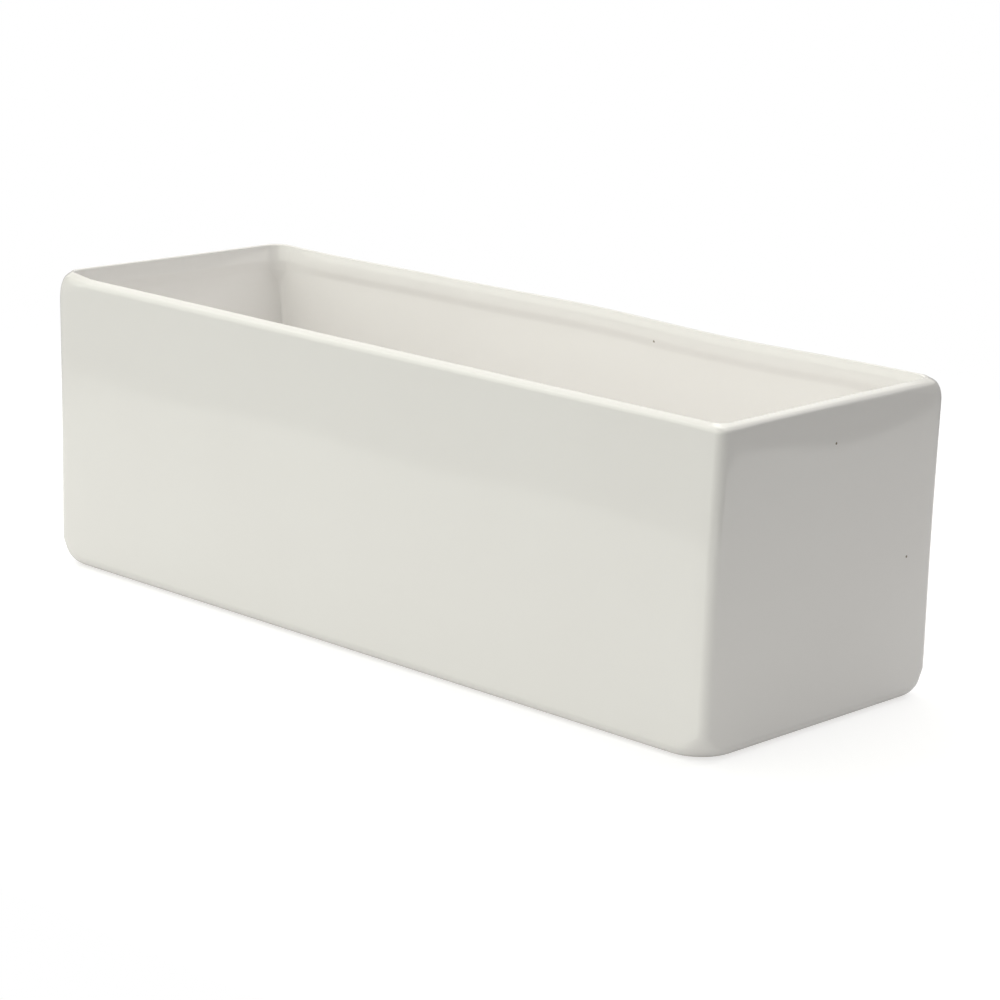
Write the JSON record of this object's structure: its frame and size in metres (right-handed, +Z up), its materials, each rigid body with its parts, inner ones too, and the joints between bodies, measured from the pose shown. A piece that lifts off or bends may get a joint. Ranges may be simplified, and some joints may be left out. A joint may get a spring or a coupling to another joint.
{
  "type": "indoor herb planter",
  "caption": "Rectangular glazed ceramic trough with a thickened rounded rim, drain holes closed by lift-out rubber stoppers, and rubber bumper feet under its recessed base.",
  "frame": {"origin": "on the table, under the middle of the trough", "axes": "+X along the trough, +Y to its back, +Z up"},
  "size_m": [0.32, 0.112, 0.109],
  "materials": {
    "glazed_body": "glossy warm white glaze on slip-cast stoneware, foot ring left bare",
    "stopper_rubber": "moulded grey rubber, satin",
    "bumper_rubber": "moulded black rubber, matt"
  },
  "bodies": {
    "planter": {"planter_body": "glazed_body", "bumper_foot_front_left": "bumper_rubber", "bumper_foot_front_right": "bumper_rubber", "bumper_foot_back_left": "bumper_rubber", "bumper_foot_back_right": "bumper_rubber"},
    "left_stopper": {"drain_stopper_left": "stopper_rubber"},
    "centre_stopper": {"drain_stopper_centre": "stopper_rubber"},
    "right_stopper": {"drain_stopper_right": "stopper_rubber"}
  },
  "joints": [
    {"name": "left_stopper_lift", "type": "slide", "parent": "planter", "child": "left_stopper", "axis": [0, 0, 1], "range_m": [0, 0.12]},
    {"name": "centre_stopper_lift", "type": "slide", "parent": "planter", "child": "centre_stopper", "axis": [0, 0, 1], "range_m": [0, 0.12]},
    {"name": "right_stopper_lift", "type": "slide", "parent": "planter", "child": "right_stopper", "axis": [0, 0, 1], "range_m": [0, 0.12]}
  ]
}
